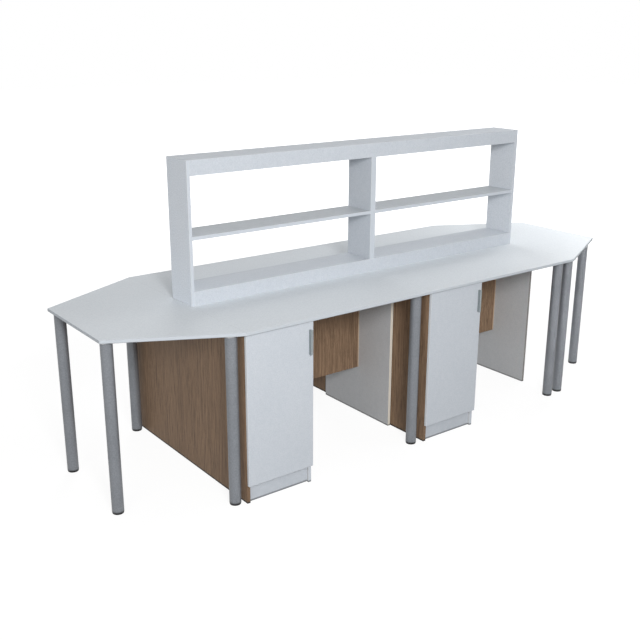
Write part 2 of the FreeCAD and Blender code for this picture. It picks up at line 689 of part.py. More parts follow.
def foot_master():
    """Levelling foot: a tapered pad that carries the tube, and a plug inside the tube."""
    body = new_body("leg_foot")
    radius = "Sizes.leg_diameter / 2"
    height = "Sizes.foot_height"
    profile = new_sketch(body, "XZ_Plane")
    draw_polygon(profile, [
        ("0", "0"), (radius + " - Sizes.foot_taper", "0"), (radius, height), ("0", height)])
    turned = body.newObject("PartDesign::Revolution", "leg_foot_turn")
    turned.Profile = profile
    turned.ReferenceAxis = (profile, ["V_Axis"])
    turned.Angle = 360
    doc.recompute()
    add_plug(body, "Sizes.foot_height", "Sizes.plug_length")
    return body


def plate_master():
    """Square plate screwed under the worktop, with the plug that the tube slides over."""
    body = new_body("leg_plate")
    half = "Sizes.plate_width / 2"
    sketch = new_sketch(body)
    draw_cut_square(sketch, "0", "0", half, half, "Sizes.plate_corner")
    pad(body, sketch, "Sizes.plate_thickness", reverse=True)
    add_plug(body, "-Sizes.plate_thickness", "Sizes.plug_length", down=True)
    return body


leg_places = {"0": [], UNDERSIDE: []}
for name, x, y in LEG_PAIRS:
    nodes.append(leg_pair("legs_" + name, x, y))
    for side_name, side in FACINGS:
        for z, places in leg_places.items():
            places.append((x, facing(side, y), z, AS_DRAWN))
nodes.append(copies("leg_feet", foot_master(), leg_places["0"]))
nodes.append(copies("leg_plates", plate_master(), leg_places[UNDERSIDE]))


# ---------------------------------------------------------------- reagent shelf
SHELF_BACK = "-Sizes.shelf_depth / 2"
BETWEEN_SIDES = "(2 * %s - 2 * Sizes.board)" % SHELF_HALF_LENGTH
INNER_START = "-%s + Sizes.board" % SHELF_HALF_LENGTH

for name, x in (("left", "-" + SHELF_HALF_LENGTH), ("right", SHELF_HALF_LENGTH + " - Sizes.board")):
    nodes.append(board(
        "shelf_side_" + name,
        (x, SHELF_BACK, "Sizes.bench_height"),
        ("Sizes.board", "Sizes.shelf_depth", "Sizes.shelf_height")))


def shelf_box(name, board_lift, fascia_lift, fascia_height):
    """A long board between the sides, with a fascia along its front and its back."""
    inner_depth = "Sizes.shelf_depth - 2 * Sizes.board"
    nodes.append(board(
        "shelf_%s_board" % name,
        (INNER_START, SHELF_BACK + " + Sizes.board", board_lift),
        (BETWEEN_SIDES, inner_depth, "Sizes.board")))
    for face_name, side in FACINGS:
        nodes.append(board_facing(
            "shelf_%s_fascia_%s" % (name, face_name), side, INNER_START,
            "Sizes.shelf_depth / 2 - Sizes.board", fascia_lift,
            (BETWEEN_SIDES, "Sizes.board", fascia_height)))


BASE_TOP = "(Sizes.bench_height + Sizes.shelf_base_box)"
TOP_BOX_BOTTOM = "(%s - Sizes.shelf_top_box)" % SHELF_TOP
shelf_box("top", SHELF_TOP + " - Sizes.board", TOP_BOX_BOTTOM, "Sizes.shelf_top_box")
shelf_box("base", BASE_TOP + " - Sizes.board", "Sizes.bench_height", "Sizes.shelf_base_box")

nodes.append(board(
    "shelf_divider",
    ("-Sizes.board", SHELF_BACK, BASE_TOP),
    ("2 * Sizes.board", "Sizes.shelf_depth", "%s - %s" % (TOP_BOX_BOTTOM, BASE_TOP))))
for name, x in (("left", INNER_START), ("right", "Sizes.board")):
    nodes.append(board(
        "middle_shelf_" + name,
        (x, SHELF_BACK, "Sizes.bench_height + Sizes.middle_shelf_height - Sizes.board"),
        (SHELF_HALF_LENGTH + " - 2 * Sizes.board", "Sizes.shelf_depth", "Sizes.board")))


# ---------------------------------------------------------------- check and write
doc.recompute()
for item in doc.Objects:
    if "Invalid" in item.State or "Error" in item.State:
        raise ValueError("%s failed: %s" % (item.Label, item.State))
os.makedirs("parts", exist_ok=True)
for node in nodes:
    if node.Shape.isNull() or not node.Shape.isValid():
        raise ValueError(node.Label + " has no valid shape")
    node.Shape.exportStep("parts/%s.step" % node.Label)
print("%d nodes" % len(nodes))
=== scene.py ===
"""Looks of the laboratory bench: procedural materials, small fittings, camera and studio light.

Everything is in metres in the frame of the CAD model: +X along the bench, -Y the front, +Z up.
"""
import bpy
import math
import bmesh
from mathutils import Matrix, Vector


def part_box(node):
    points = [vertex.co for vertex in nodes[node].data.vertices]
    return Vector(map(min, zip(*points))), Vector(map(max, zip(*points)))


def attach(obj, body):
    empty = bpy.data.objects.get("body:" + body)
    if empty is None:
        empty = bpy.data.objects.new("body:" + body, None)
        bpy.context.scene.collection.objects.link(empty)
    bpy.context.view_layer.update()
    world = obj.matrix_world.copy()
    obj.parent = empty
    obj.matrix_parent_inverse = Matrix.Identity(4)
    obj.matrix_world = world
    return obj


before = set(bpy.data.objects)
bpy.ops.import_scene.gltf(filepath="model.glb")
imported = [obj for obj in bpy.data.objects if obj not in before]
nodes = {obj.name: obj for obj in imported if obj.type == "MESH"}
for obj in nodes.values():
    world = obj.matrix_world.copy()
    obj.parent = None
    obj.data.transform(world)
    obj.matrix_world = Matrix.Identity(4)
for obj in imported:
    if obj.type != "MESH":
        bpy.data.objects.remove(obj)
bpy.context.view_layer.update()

MM = 0.001
AXES = {"X": 0, "Y": 1, "Z": 2}
BODY = "frame"
DOORS = ("front_left", "front_right", "back_left", "back_right")

# Lengths of the CAD pieces that the fittings and the textures have to meet.
DESK_LENGTH = 1200 * MM
WORKTOP_BOTTOM = 894 * MM
PLATE_THICKNESS = 5 * MM
DOOR_GAP = 2.5 * MM
DOOR_REVEAL = 1 * MM
HINGE_INSET = 95 * MM
FLANGE_THICKNESS = 1.2 * MM
# Height where the painted shadow under the doors starts on the plinth.
PLINTH_SHADOW_START = 77 * MM


# ---------------------------------------------------------------- camera, as in the photograph
CAMERA_PLACE = Vector((-3.35206, -4.00809, 2.26817))
CAMERA_YAW = math.radians(-37.2702)
CAMERA_PITCH = math.radians(-17.9035)
CAMERA_ROLL = math.radians(0.2273)
CAMERA_LENS = 50.927
SENSOR_WIDTH = 36.0
CAMERA_REACH = 100


def make_camera():
    data = bpy.data.cameras.new("photo_camera")
    data.sensor_width = SENSOR_WIDTH
    data.lens = CAMERA_LENS
    data.clip_end = CAMERA_REACH
    camera = bpy.data.objects.new("photo_camera", data)
    camera.location = CAMERA_PLACE
    upright = math.pi / 2
    level = Matrix.Rotation(CAMERA_YAW, 3, "Z") @ Matrix.Rotation(upright + CAMERA_PITCH, 3, "X")
    camera.rotation_euler = (level @ Matrix.Rotation(CAMERA_ROLL, 3, "Z")).to_euler()
    bpy.context.scene.collection.objects.link(camera)
    bpy.context.scene.camera = camera


# ---------------------------------------------------------------- node helpers
FLAT_NORMAL = 0.9        # a normal this far along an axis belongs to a face square to it
EASED_NORMAL = 0.95      # a normal less far than this along every axis belongs to an eased edge
# Height and share of the painted shade strip along the foot of boards that stand on the floor.
FLOOR_SHADE_STRIP = 6 * MM
FLOOR_SHADE_STRIP_SHARE = 0.95
HOLE_ROWS = (551.5 * MM, 46 * MM)
HOLE_START = 222 * MM
HOLE_PITCH = 32 * MM
HOLE_MIDDLE = 510 * MM
HOLE_SPAN = 600 * MM
HOLE_RADIUS = 2.5 * MM


def srgb(red, green, blue):
    """A colour given as 0 to 255 display values, as linear light."""
    linear = []
    for part in (red, green, blue):
        share = part / 255
        linear.append(share / 12.92 if share <= 0.04045 else ((share + 0.055) / 1.055) ** 2.4)
    return (*linear, 1)


class Shader:
    """One procedural material. Textures are laid out in the object's own metres."""

    def __init__(self, name, metallic=0.0):
        self.material = bpy.data.materials.new(name)
        self.material.use_nodes = True
        self.tree = self.material.node_tree
        self.surface = self.tree.nodes["Principled BSDF"]
        self.surface.inputs["Metallic"].default_value = metallic
        coordinates = self.tree.nodes.new("ShaderNodeTexCoord")
        self.place = coordinates.outputs["Object"]
        self.normal = coordinates.outputs["Normal"]

    def add(self, kind, inputs=None, **settings):
        """A node with its settings; each input is a value or another node's output."""
        node = self.tree.nodes.new("ShaderNode" + kind)
        for name, setting in settings.items():
            setattr(node, name, setting)
        for name, source in (inputs or {}).items():
            self.feed(node.inputs[name], source)
        return node

    def feed(self, socket, source):
        if isinstance(source, bpy.types.NodeSocket):
            self.tree.links.new(source, socket)
        else:
            socket.default_value = source

    def calc(self, operation, *sources):
        node = self.add("Math", operation=operation)
        for socket, source in zip(node.inputs, sources):
            self.feed(socket, source)
        return node.outputs[0]

    def times(self, source, factor):
        return self.calc("MULTIPLY", source, factor)

    def part_of(self, vector, axis):
        return self.add("SeparateXYZ", {"Vector": vector}).outputs[AXES[axis]]

    def height(self):
        """The height above the floor."""
        return self.part_of(self.place, "Z")

    def stretched(self, scale, vector=None):
        """Object coordinates, or another vector, times a scale for each axis."""
        return self.add("Mapping", {"Vector": vector or self.place, "Scale": scale}).outputs[0]

    def noise(self, scale, detail, roughness=0.5, vector=None):
        """Noise from 0 to 1, mostly near the middle. The scale is in waves per metre."""
        inputs = {
            "Vector": vector or self.place, "Scale": scale,
            "Detail": detail, "Roughness": roughness}
        return self.add("TexNoise", inputs).outputs[0]

    def span(self, source, low, high, new_low=0.0, new_high=1.0):
        """Maps low..high of the source to new_low..new_high, and holds it there outside."""
        inputs = {
            "Value": source, "From Min": low, "From Max": high,
            "To Min": new_low, "To Max": new_high}
        return self.add("MapRange", inputs).outputs[0]

    def gloss(self, texture, roughness, less, more):
        """A roughness that the texture lowers or raises a little."""
        low, high = roughness - less, roughness + more
        return self.span(texture, low=0.3, high=0.7, new_low=low, new_high=high)

    def mix(self, share, first, second):
        node = self.add("Mix", data_type="RGBA")
        for index, source in ((0, share), (6, first), (7, second)):
            self.feed(node.inputs[index], source)
        return node.outputs[2]

    def tint(self, colour, other, texture, low, high, share):
        """The colour, going towards another by up to a share where the texture goes from low to high."""
        return self.mix(self.span(texture, low, high, 0, share), colour, other)

    def edge_share(self, face_axis):
        """1 on a board's edges, 0 on its two faces, whose normal lies along face_axis."""
        along = self.calc("ABSOLUTE", self.part_of(self.normal, face_axis))
        return self.calc("LESS_THAN", along, FLAT_NORMAL)

    def eased_share(self):
        """1 on the eased edges between a board's faces, where hands and feet rub it, otherwise 0."""
        parts = [self.calc("ABSOLUTE", self.part_of(self.normal, axis)) for axis in AXES]
        largest = self.calc("MAXIMUM", self.calc("MAXIMUM", parts[0], parts[1]), parts[2])
        return self.calc("LESS_THAN", largest, EASED_NORMAL)

    def floor_shade_share(self):
        """Towards 1 on a strip of painted shade along the foot of a board, where it stands on the floor.
        """
        return self.span(self.height(), FLOOR_SHADE_STRIP, 2 * FLOOR_SHADE_STRIP, FLOOR_SHADE_STRIP_SHARE, 0)

    def hole_share(self, towards):
        """1 in the rows of shelf-support holes, which are painted as dark discs of shade, on the face of
        a board whose normal X is towards.
        """
        depth = self.calc("ABSOLUTE", self.part_of(self.place, "Y"))
        rows = [self.calc("ABSOLUTE", self.calc("SUBTRACT", depth, row)) for row in HOLE_ROWS]
        sideways = self.calc("MINIMUM", *rows)
        height = self.height()
        above_start = self.calc("SUBTRACT", height, HOLE_START)
        upwards = self.calc("PINGPONG", above_start, HOLE_PITCH / 2)
        squares = [self.calc("POWER", offset, 2) for offset in (sideways, upwards)]
        reach = self.calc("SQRT", self.calc("ADD", *squares))
        in_hole = self.calc("LESS_THAN", reach, HOLE_RADIUS)
        from_middle = self.calc("ABSOLUTE", self.calc("SUBTRACT", height, HOLE_MIDDLE))
        in_row = self.calc("LESS_THAN", from_middle, HOLE_SPAN / 2)
        facing = self.times(self.part_of(self.normal, "X"), towards)
        on_face = self.calc("GREATER_THAN", facing, FLAT_NORMAL)
        return self.times(self.times(in_hole, in_row), on_face)

    def bump(self, height, distance, strength):
        inputs = {"Height": height, "Distance": distance, "Strength": strength}
        return self.add("Bump", inputs).outputs[0]

    def finish(self, colour, roughness, normal, specular=0.5):
        self.feed(self.surface.inputs["Base Color"], colour)
        self.feed(self.surface.inputs["Roughness"], roughness)
        self.feed(self.surface.inputs["Normal"], normal)
        self.surface.inputs["Specular IOR Level"].default_value = specular
        return self.material


# ---------------------------------------------------------------- board
# A share runs from 0, none of it, to 1, all of it. Heights are above the floor.
BOARD_CLOUD = srgb(236, 238, 240)
BOARD_PEARL = srgb(164, 171, 180)
BOARD_PATCH = srgb(232, 232, 236)
BOARD_RUBBED = srgb(232, 232, 228)
BOARD_DIRT = srgb(96, 92, 86)
BOARD_FLOOR_SHADE = srgb(44, 42, 40)
BOARD_DOOR_SHADOW = srgb(88, 90, 94)
BOARD_HOLE_SHADE = srgb(64, 56, 48)
BOARD_ROUGHNESS = 0.5
RUBBED_SHARE = 0.5
DIRT_HEIGHT = 50 * MM
DIRT_SHARE = 0.10
BOARD_FLOOR_SHADE_SHARE = 0.65
DOOR_SHADOW_HEIGHT = 8 * MM
DOOR_SHADOW_SHARE = 0.8
SCUFF_STRETCH = (1, 1, 0.25)


def board(name, face_axis, colour, edge_colour, drilled_towards=0, door_shadow_above=None):
    """Melamine-faced chipboard: pearled press texture, faint clouding, banded edges, light wear, painted
    shade along its foot and, where asked, a painted shadow under a door.
    """
    shader = Shader(name)
    clouds = shader.noise(scale=3.5, detail=3)
    pearl = shader.noise(scale=150, detail=4, roughness=0.8)
    patches = shader.noise(scale=38, detail=3, roughness=0.6)
    face = shader.tint(colour, BOARD_CLOUD, clouds, low=0.3, high=0.7, share=0.08)
    face = shader.tint(face, BOARD_PEARL, pearl, low=0.40, high=0.60, share=0.28)
    face = shader.tint(face, BOARD_PATCH, patches, low=0.35, high=0.65, share=0.10)
    painted = shader.mix(shader.edge_share(face_axis), face, edge_colour)
    painted = shader.mix(shader.times(shader.eased_share(), RUBBED_SHARE), painted, BOARD_RUBBED)
    upright = shader.stretched(SCUFF_STRETCH)
    scuffs = shader.noise(scale=60, detail=6, roughness=0.7, vector=upright)
    height = shader.height()
    low_down = shader.span(height, 0, DIRT_HEIGHT, DIRT_SHARE, 0)
    dirt = shader.times(shader.span(scuffs, low=0.5, high=0.75), low_down)
    painted = shader.mix(dirt, painted, BOARD_DIRT)
    # Painted shade: a dark strip along the board's foot where it meets the floor.
    painted = shader.mix(shader.times(shader.floor_shade_share(), BOARD_FLOOR_SHADE_SHARE), painted, BOARD_FLOOR_SHADE)
    # Painted shadow: a dark band on the plinth just below the door's lower edge, where the door shades
    # it.
    if door_shadow_above:
        door_shadow_end = door_shadow_above + DOOR_SHADOW_HEIGHT
        painted = shader.tint(painted, BOARD_DOOR_SHADOW, height, door_shadow_above, door_shadow_end, DOOR_SHADOW_SHARE)
    if drilled_towards:
        # Painted shade: shelf-support holes drawn as dark discs, standing in for the shade inside
        # drilled recesses.
        painted = shader.mix(shader.hole_share(drilled_towards), painted, BOARD_HOLE_SHADE)
    smudges = shader.noise(scale=11, detail=4, roughness=0.6)
    gloss = shader.gloss(smudges, BOARD_ROUGHNESS, less=0.05, more=0.07)
    press = shader.noise(scale=900, detail=2, roughness=0.6)
    relief = shader.bump(press, distance=0.1 * MM, strength=0.22)
    return shader.finish(painted, gloss, relief, specular=0.25)


# ---------------------------------------------------------------- wood grain
WOOD_LIGHT = srgb(174, 144, 117)
WOOD_DARK = srgb(91, 72, 56)
WOOD_PORE = srgb(58, 45, 35)
WOOD_FLOOR_SHADE = srgb(28, 24, 22)
WOOD_HOLE_SHADE = srgb(46, 38, 32)
GRAIN_SWAY = 50 * MM
SWAY_WAVES = (2.2, 2.2, 0.8)
BAND_WEIGHT = 0.16
STREAK_WEIGHT = 0.60
FIBRE_WEIGHT = 0.24
FLECK_SHARE = 0.4
PORE_SHARE = 0.45
WOOD_EDGE_SHARE = 0.45
WOOD_RUBBED_SHARE = 0.45


def wood_board(name, face_axis, drilled_towards=0):
    """Brown wood-grain laminate with upright grain: broad bands, streaks, fibres, pores, flecks, and
    painted shade along its foot.
    """
    shader = Shader(name)
    sweep = shader.noise(scale=1, detail=2, vector=shader.stretched(SWAY_WAVES))
    sway = shader.span(sweep, 0, 1, -GRAIN_SWAY, GRAIN_SWAY)
    offset = shader.add("CombineXYZ", {"X": sway, "Y": sway}).outputs[0]
    bent = shader.add("VectorMath", {0: shader.place, 1: offset}, operation="ADD").outputs[0]

    def grain(across, along, detail, roughness=0.55):
        """Noise with so many waves per metre across the board and along its height."""
        drawn_out = shader.stretched((across, across, along), bent)
        return shader.noise(scale=1, detail=detail, roughness=roughness, vector=drawn_out)

    bands = shader.span(grain(across=14, along=0.55, detail=3), low=0.32, high=0.68)
    streaks = shader.span(grain(across=190, along=1.5, detail=4, roughness=0.72), low=0.36, high=0.64)
    fibres = shader.span(grain(across=620, along=9, detail=3, roughness=0.6), low=0.3, high=0.7)
    pores = shader.span(grain(across=900, along=26, detail=2), low=0.60, high=0.72)
    dark_flecks = shader.span(grain(across=210, along=9, detail=3, roughness=0.7), low=0.52, high=0.66)
    light_flecks = shader.span(grain(across=240, along=7, detail=3, roughness=0.7), low=0.52, high=0.66)
    tone = shader.times(bands, BAND_WEIGHT)
    tone = shader.calc("ADD", tone, shader.times(streaks, STREAK_WEIGHT))
    tone = shader.calc("ADD", tone, shader.times(fibres, FIBRE_WEIGHT))
    face = shader.mix(tone, WOOD_DARK, WOOD_LIGHT)
    face = shader.mix(shader.times(light_flecks, FLECK_SHARE), face, WOOD_LIGHT)
    face = shader.mix(shader.times(pores, PORE_SHARE), face, WOOD_PORE)
    face = shader.mix(shader.times(dark_flecks, FLECK_SHARE), face, WOOD_PORE)
    band = shader.mix(WOOD_EDGE_SHARE, face, WOOD_DARK)
    colour = shader.mix(shader.edge_share(face_axis), face, band)
    rubbed = shader.times(shader.eased_share(), WOOD_RUBBED_SHARE)
    colour = shader.mix(rubbed, colour, WOOD_LIGHT)
    # Painted shade: a dark strip along the panel's foot where it meets the floor.
    colour = shader.mix(shader.floor_shade_share(), colour, WOOD_FLOOR_SHADE)
    if drilled_towards:
        # Painted shade: shelf-support holes drawn as dark discs, standing in for the shade inside
        # drilled recesses.
        colour = shader.mix(shader.hole_share(drilled_towards), colour, WOOD_HOLE_SHADE)
    gloss = shader.span(streaks, 0, 1, new_low=0.50, new_high=0.60)
    relief = shader.bump(shader.calc("SUBTRACT", fibres, pores), distance=0.2 * MM, strength=0.35)
    return shader.finish(colour, gloss, relief, specular=0.2)


# ---------------------------------------------------------------- worktop
WORKTOP_COLOUR = srgb(224, 229, 233)
WORKTOP_CLOUD = srgb(232, 236, 239)
WORKTOP_PEARL = srgb(186, 193, 202)
WORKTOP_SPECK = srgb(136, 142, 150)
WORKTOP_EDGE = srgb(196, 202, 208)
WORKTOP_EDGE_SHADOW = srgb(92, 96, 102)
WORKTOP_JOINT = srgb(120, 120, 120)
WORKTOP_ROUGHNESS = 0.50
EDGE_SHADOW_START = 0.5 * MM
EDGE_SHADOW_END = 4 * MM
EDGE_SHADOW_SHARE = 0.5
JOINT_HALF_WIDTH = 0.25 * MM
JOINT_SHARE = 0.5
WIPE_STRETCH = (1, 2.5, 1)


def worktop_laminate(name):
    """High-pressure laminate: fine satin grain, hairline butt joints, slightly darker edge band, and a
    painted shadow line along the bottom of the edge.
    """
    shader = Shader(name)
    clouds = shader.noise(scale=2.2, detail=3)
    pearl = shader.noise(scale=140, detail=4, roughness=0.8)
    speckle = shader.noise(scale=1100, detail=2, roughness=0.7)
    face = shader.tint(WORKTOP_COLOUR, WORKTOP_CLOUD, clouds, low=0.3, high=0.7, share=0.08)
    face = shader.tint(face, WORKTOP_PEARL, pearl, low=0.40, high=0.60, share=0.26)
    face = shader.tint(face, WORKTOP_SPECK, speckle, low=0.4, high=0.7, share=0.06)
    edges = shader.edge_share("Z")
    colour = shader.mix(edges, face, WORKTOP_EDGE)
    # Painted shadow: a dark line along the bottom of the worktop's edge, where the gap beneath it lies
    # in shade.
    shadow_line_start = WORKTOP_BOTTOM + EDGE_SHADOW_START
    shadow_line_end = WORKTOP_BOTTOM + EDGE_SHADOW_END
    shadow_line = shader.span(shader.height(), shadow_line_start, shadow_line_end, EDGE_SHADOW_SHARE, 0)
    colour = shader.mix(shader.times(edges, shadow_line), colour, WORKTOP_EDGE_SHADOW)
    along = shader.calc("ABSOLUTE", shader.part_of(shader.place, "X"))
    from_joint = shader.calc("PINGPONG", along, DESK_LENGTH / 2)
    in_joint = shader.calc("LESS_THAN", from_joint, JOINT_HALF_WIDTH)
    colour = shader.mix(shader.times(in_joint, JOINT_SHARE), colour, WORKTOP_JOINT)
    wipes = shader.noise(scale=7, detail=5, roughness=0.62, vector=shader.stretched(WIPE_STRETCH))
    gloss = shader.gloss(wipes, WORKTOP_ROUGHNESS, less=0, more=0.08)
    fine = shader.noise(scale=700, detail=2, roughness=0.6)
    relief = shader.bump(fine, distance=0.1 * MM, strength=0.18)
    return shader.finish(colour, gloss, relief, specular=0.25)


# ---------------------------------------------------------------- paint, metal and plastic
PAINT_FLAKE = srgb(210, 212, 214)
PAINT_CLOUD = srgb(70, 72, 74)
PAINT_MOTTLE = srgb(78, 80, 86)
PAINT_SCUFF = srgb(62, 60, 58)
PAINT_FLOOR_SHADE = srgb(28, 28, 30)
SCUFF_HEIGHT = 120 * MM
SCUFF_SHARE = 0.35
PAINT_SHADE_START = 9 * MM
PAINT_SHADE_END = 18 * MM
PAINT_SHADE_SHARE = 0.95
METAL_LINE = srgb(235, 236, 236)
METAL_STAIN = srgb(88, 86, 82)
LINES_ACROSS = 1400
LINES_ALONG = 30
PLASTIC_DUST = srgb(150, 148, 144)


def powder_coat(name, colour, metallic, roughness, peel=1.0, mottle=0.27):
    """Sprayed and baked paint: orange peel, faint flake, mottling, scuffed low down, with painted shade
    just above the floor.
    """
    shader = Shader(name, metallic=metallic)
    flake = shader.noise(scale=2600, detail=1)
    clouds = shader.noise(scale=9, detail=4)
    patches = shader.noise(scale=130, detail=4, roughness=0.8)
    tone = shader.tint(colour, PAINT_FLAKE, flake, low=0.4, high=0.6, share=0.12)
    tone = shader.tint(tone, PAINT_CLOUD, clouds, low=0.45, high=0.75, share=0.10)
    tone = shader.tint(tone, PAINT_MOTTLE, patches, low=0.40, high=0.60, share=mottle)
    height = shader.height()
    low_down = shader.span(height, 0, SCUFF_HEIGHT, SCUFF_SHARE, 0)
    scuffs = shader.span(shader.noise(scale=90, detail=6, roughness=0.75), low=0.52, high=0.72)
    tone = shader.mix(shader.times(scuffs, low_down), tone, PAINT_SCUFF)
    # Painted shade: the paint goes nearly black just above the floor, where a leg meets it.
    ground = shader.span(height, PAINT_SHADE_START, PAINT_SHADE_END, PAINT_SHADE_SHARE, 0)
    tone = shader.mix(ground, tone, PAINT_FLOOR_SHADE)
    gloss = shader.gloss(clouds, roughness, less=0.04, more=0.06)
    orange_peel = shader.noise(scale=420, detail=2)
    relief = shader.bump(orange_peel, distance=0.3 * MM, strength=0.15 * peel)
    return shader.finish(tone, gloss, relief)


def brushed_metal(name, colour, roughness, along):
    """Plated or anodised metal with a fine brushed line along one axis."""
    shader = Shader(name, metallic=1.0)
    scale = [LINES_ALONG if axis == along else LINES_ACROSS for axis in AXES]
    lines = shader.noise(scale=1, detail=3, roughness=0.6, vector=shader.stretched(scale))
    stains = shader.noise(scale=70, detail=4, roughness=0.6)
    tone = shader.tint(colour, METAL_LINE, lines, low=0.35, high=0.65, share=0.16)
    tone = shader.tint(tone, METAL_STAIN, stains, low=0.5, high=0.75, share=0.22)
    gloss = shader.gloss(lines, roughness, less=0.05, more=0.08)
    relief = shader.bump(lines, distance=0.08 * MM, strength=0.3)
    return shader.finish(tone, gloss, relief)


def moulded_plastic(name, colour, roughness=0.55, specular=0.5):
    """Injection-moulded plastic with a spark-eroded grain and dust in it."""
    shader = Shader(name)
    dust = shader.noise(scale=140, detail=5, roughness=0.7)
    tone = shader.tint(colour, PLASTIC_DUST, dust, low=0.5, high=0.75, share=0.10)
    gloss = shader.gloss(shader.noise(scale=35, detail=3), roughness, less=0.06, more=0.08)
    grain = shader.noise(scale=1300, detail=2, roughness=0.7)
    relief = shader.bump(grain, distance=0.2 * MM, strength=0.35)
    return shader.finish(tone, gloss, relief, specular)


# ---------------------------------------------------------------- finish of each CAD node
PALE_GREY = srgb(201, 207, 214)
DOOR_EDGE = srgb(222, 226, 230)
# Painted light and shade: the plinth, the shelf sides, the shelf base and the middle shelf are copies of
# the one pale laminate, each lightened or darkened for how it is lit where it stands.
PLINTH_PAINTED_SHADE = srgb(194, 200, 207)
LEFT_SIDE_PAINTED_LIGHT = srgb(231, 237, 244)
RIGHT_SIDE_PAINTED_LIGHT = srgb(220, 225, 231)
BASE_PAINTED_LIGHT = srgb(207, 213, 220)
MIDDLE_PAINTED_SHADE = srgb(190, 195, 199)
WHITE = srgb(205, 206, 207)
CREAM_BAND = srgb(230, 224, 212)
GREY_BAND = srgb(146, 144, 142)
LEG_GREY = srgb(127, 131, 137)
HANDLE_GREY = srgb(146, 154, 156)
NICKEL = srgb(196, 194, 188)
ZINC = srgb(176, 178, 180)
SCREW_STEEL = srgb(188, 188, 184)
FOOT_BLACK = srgb(26, 26, 27)
SUPPORT_GREY = srgb(190, 190, 186)
BUMPER_GREY = srgb(208, 208, 202)
TRIM_BEIGE = srgb(196, 172, 148)


def thin_axis(node):
    """The axis along which a board is thinnest, so the normal of its two faces."""
    low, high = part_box(node)
    sizes = [top - bottom for bottom, top in zip(low, high)]
    return "XYZ"[sizes.index(min(sizes))]


def boards_by_axis(stem, colour):
    """The same board once for each axis that its faces may be square to."""
    return {axis: board("%s_%s" % (stem, axis.lower()), axis, colour, PALE_GREY) for axis in AXES}


def dress_nodes():
    """Gives every CAD node its finish, by the first prefix below that its name starts with."""
    worktop = worktop_laminate("worktop_laminate")
    carcass = boards_by_axis("carcass_board", WHITE)
    shelf = boards_by_axis("shelf_laminate", PALE_GREY)
    by_prefix = {
        "end_worktop": worktop,
        "desk_worktop": worktop,
        "end_panel": wood_board("end_panel_laminate", "X", drilled_towards=1),
        "modesty_panel": wood_board("wood_laminate", "Y"),
        "support_panel_right": board("outer_support_board", "X", WHITE, GREY_BAND),
        "support_panel": board("support_board", "X", WHITE, CREAM_BAND),
        "door": board("door_laminate", "Y", PALE_GREY, DOOR_EDGE),
        "handle": powder_coat(
            "handle_paint", HANDLE_GREY, metallic=0.6, roughness=0.38, peel=0.4, mottle=0.1),
        "hinge": brushed_metal("hinge_steel", NICKEL, roughness=0.3, along="Y"),
        "shelf_supports": moulded_plastic("support_plastic", SUPPORT_GREY),
        "legs": powder_coat("leg_paint", LEG_GREY, metallic=0.2, roughness=0.42),
        "leg_feet": moulded_plastic("foot_plastic", FOOT_BLACK, specular=0.2),
        "leg_plates": brushed_metal("plate_steel", ZINC, roughness=0.42, along="X"),
        # The shelf sides, base, middle shelf and plinth take lit and shaded copies of the pale laminate.
        "shelf_side_right": board("shelf_right_side_painted_light", "X", RIGHT_SIDE_PAINTED_LIGHT, PALE_GREY),
        "shelf_side": board("shelf_side_painted_light", "X", LEFT_SIDE_PAINTED_LIGHT, PALE_GREY),
        "shelf_base_board": board("shelf_base_painted_light", "Z", BASE_PAINTED_LIGHT, PALE_GREY),
        "shelf": shelf,
        "middle_shelf": board("middle_shelf_painted_shade", "Z", MIDDLE_PAINTED_SHADE, PALE_GREY),
        "pedestal_plinths": board(
            "plinth_painted_shade", "Y", PLINTH_PAINTED_SHADE, PLINTH_PAINTED_SHADE, door_shadow_above=PLINTH_SHADOW_START),
        "pedestal_side": board("pedestal_side_board", "X", WHITE, PALE_GREY, drilled_towards=-1),
        "pedestal": carcass,
        "inner_shelves": carcass,
    }
    for name, node in nodes.items():
        finish = next(by_prefix[prefix] for prefix in by_prefix if name.startswith(prefix))
        if isinstance(finish, dict):
            finish = finish[thin_axis(name)]
        node.data.materials.clear()
        node.data.materials.append(finish)


# ---------------------------------------------------------------- shapes of the fittings
ROUND_STEPS = 24
SCREW_TURN = 0.7
SHARP_ANGLE = math.radians(35)
WELD_DISTANCE = 0.001 * MM
# Rings of a turned shape, each as shares of its radius and of its height.
SCREW_PROFILE = ((0.97, 0.0), (1.0, 0.12), (1.0, 0.42), (0.93, 0.7), (0.8, 0.9), (0.66, 1.0))
DOME_PROFILE = ((1.0, 0.0), (1.0, 0.18), (0.94, 0.42), (0.8, 0.68), (0.58, 0.88), (0.3, 0.98))
# The cross recess in a screw head: its arm and half its width as shares of the radius.
CROSS_RIM = (0.52, 0.12)
CROSS_FLOOR = (0.4, 0.07)
CROSS_FLOOR_HEIGHT = 0.35


def join_rings(shape, first, second):
    for index in range(len(first)):
        after = (index + 1) % len(first)
        shape.faces.new((first[index], first[after], second[after], second[index]))


def turned(shape, profile, radius, height):
    """Adds the wall of a turned shape and returns its top ring."""
    angles = [2 * math.pi * step / ROUND_STEPS for step in range(ROUND_STEPS)]
    rings = []
    for across, up in profile:
        reach = radius * across
        rings.append([
            shape.verts.new((reach * math.cos(angle), reach * math.sin(angle), height * up))
            for angle in angles])
    for first, second in zip(rings, rings[1:]):
        join_rings(shape, first, second)
    return rings[-1]


def cross_outline(shape, radius, shares, height):
    """The twelve corners of a cross recess."""
    arm, half_width = (radius * share for share in shares)
    quarter = ((arm, -half_width), (arm, half_width), (half_width, half_width))
    corners = []
    for turn in range(4):
        spin = Matrix.Rotation(turn * math.pi / 2, 2)
        corners += [spin @ Vector(corner) for corner in quarter]
    return [shape.verts.new((*corner, height)) for corner in corners]


